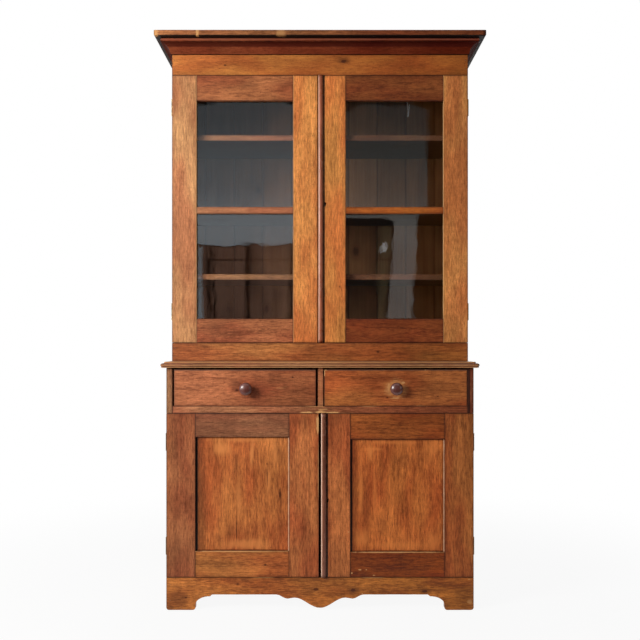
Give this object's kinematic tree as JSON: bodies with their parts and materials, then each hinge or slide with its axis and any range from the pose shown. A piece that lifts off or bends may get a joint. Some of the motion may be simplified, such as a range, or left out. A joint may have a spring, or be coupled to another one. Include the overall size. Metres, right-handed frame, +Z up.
{
  "type": "step-back hutch",
  "caption": "Step-back pine kitchen hutch: glazed double-door cupboard with shelves on a base with drawers, panelled doors and a scrolled apron.",
  "frame": {"origin": "on the floor, under the middle of the bounding box", "axes": "+Z up, -Y out of the front with its doors and drawers, +X to the right as seen from the front"},
  "size_m": [1.239, 0.514, 2.1445],
  "materials": {
    "pine_golden": "old shellac over golden brown pine, satin",
    "pine_light": "old shellac over light golden pine, satin",
    "pine_red": "old shellac over reddish brown pine, satin",
    "pine_dark": "darkened shellac over red-brown pine, satin",
    "pine_inside": "unfinished old pine, matt",
    "bead_brown": "dark stained hardwood strip, worn satin",
    "knob_brown": "dark turned hardwood, polished by use",
    "glass_grey": "old wavy window glass",
    "brass_dull": "tarnished brass",
    "iron_grey": "dark iron, worn bright on the bolt"
  },
  "bodies": {
    "case": {"base_side_left": "pine_light", "base_side_right": "pine_light", "base_floor": "pine_inside", "base_back": "pine_inside", "apron": "pine_golden", "drawer_frame": "pine_light", "ledge": "pine_golden", "upper_side_left": "pine_light", "upper_side_right": "pine_light", "upper_floor": "pine_inside", "upper_shelf_low": "pine_inside", "upper_shelf_middle": "pine_inside", "upper_shelf_high": "pine_inside", "upper_back": "pine_inside", "upper_base_rail": "pine_golden", "frieze": "pine_golden", "cornice_moulding": "pine_dark", "upper_top": "pine_golden", "lower_left_hinge_low": "brass_dull", "lower_left_hinge_high": "brass_dull", "lower_right_hinge_low": "brass_dull", "lower_right_hinge_high": "brass_dull", "upper_left_hinge_low": "brass_dull", "upper_left_hinge_high": "brass_dull", "upper_right_hinge_low": "brass_dull", "upper_right_hinge_high": "brass_dull"},
    "upper_left_door": {"upper_left_door_hinge_stile": "pine_light", "upper_left_door_meeting_stile": "pine_light", "upper_left_door_bottom_rail": "pine_red", "upper_left_door_glazing_bar": "pine_red", "upper_left_door_top_rail": "pine_red", "upper_left_door_pane_lower": "glass_grey", "upper_left_door_pane_upper": "glass_grey"},
    "upper_right_door": {"upper_right_door_hinge_stile": "pine_light", "upper_right_door_meeting_stile": "pine_light", "upper_right_door_bottom_rail": "pine_red", "upper_right_door_glazing_bar": "pine_red", "upper_right_door_top_rail": "pine_red", "upper_right_door_pane_lower": "glass_grey", "upper_right_door_pane_upper": "glass_grey", "upper_right_door_bead": "bead_brown"},
    "lower_left_door": {"lower_left_door_hinge_stile": "pine_golden", "lower_left_door_meeting_stile": "pine_golden", "lower_left_door_bottom_rail": "pine_red", "lower_left_door_top_rail": "pine_red", "lower_left_door_panel": "pine_golden"},
    "lower_right_door": {"lower_right_door_hinge_stile": "pine_golden", "lower_right_door_meeting_stile": "pine_golden", "lower_right_door_bottom_rail": "pine_red", "lower_right_door_top_rail": "pine_red", "lower_right_door_panel": "pine_golden", "lower_right_door_bead": "bead_brown"},
    "drawer_left": {"drawer_left_front": "pine_red", "drawer_left_box": "pine_inside", "drawer_left_knob": "knob_brown"},
    "drawer_right": {"drawer_right_front": "pine_red", "drawer_right_box": "pine_inside", "drawer_right_knob": "knob_brown"},
    "upper_lock_bolt": {"upper_lock_bolt": "iron_grey"},
    "lower_lock_bolt": {"lower_lock_bolt": "iron_grey"}
  },
  "joints": [
    {"name": "upper_left_door_swing", "type": "hinge", "parent": "case", "child": "upper_left_door", "pos_m": [-0.5648, -0.0765, 1.48425], "axis": [0, 0, -1], "range_deg": [0, 170]},
    {"name": "upper_right_door_swing", "type": "hinge", "parent": "case", "child": "upper_right_door", "pos_m": [0.5648, -0.0765, 1.48425], "axis": [0, 0, 1], "range_deg": [0, 170]},
    {"name": "lower_left_door_swing", "type": "hinge", "parent": "case", "child": "lower_left_door", "pos_m": [-0.5648, -0.1965, 0.41925], "axis": [0, 0, -1], "range_deg": [0, 170]},
    {"name": "lower_right_door_swing", "type": "hinge", "parent": "case", "child": "lower_right_door", "pos_m": [0.5648, -0.1965, 0.41925], "axis": [0, 0, 1], "range_deg": [0, 170]},
    {"name": "drawer_left_slide", "type": "slide", "parent": "case", "child": "drawer_left", "axis": [0, -1, 0], "range_m": [0, 0.34]},
    {"name": "drawer_right_slide", "type": "slide", "parent": "case", "child": "drawer_right", "axis": [0, -1, 0], "range_m": [0, 0.34]},
    {"name": "upper_lock_bolt_slide", "type": "slide", "parent": "upper_right_door", "child": "upper_lock_bolt", "axis": [-1, 0, 0], "range_m": [0, 0.012]},
    {"name": "lower_lock_bolt_slide", "type": "slide", "parent": "lower_right_door", "child": "lower_lock_bolt", "axis": [-1, 0, 0], "range_m": [0, 0.014]}
  ]
}
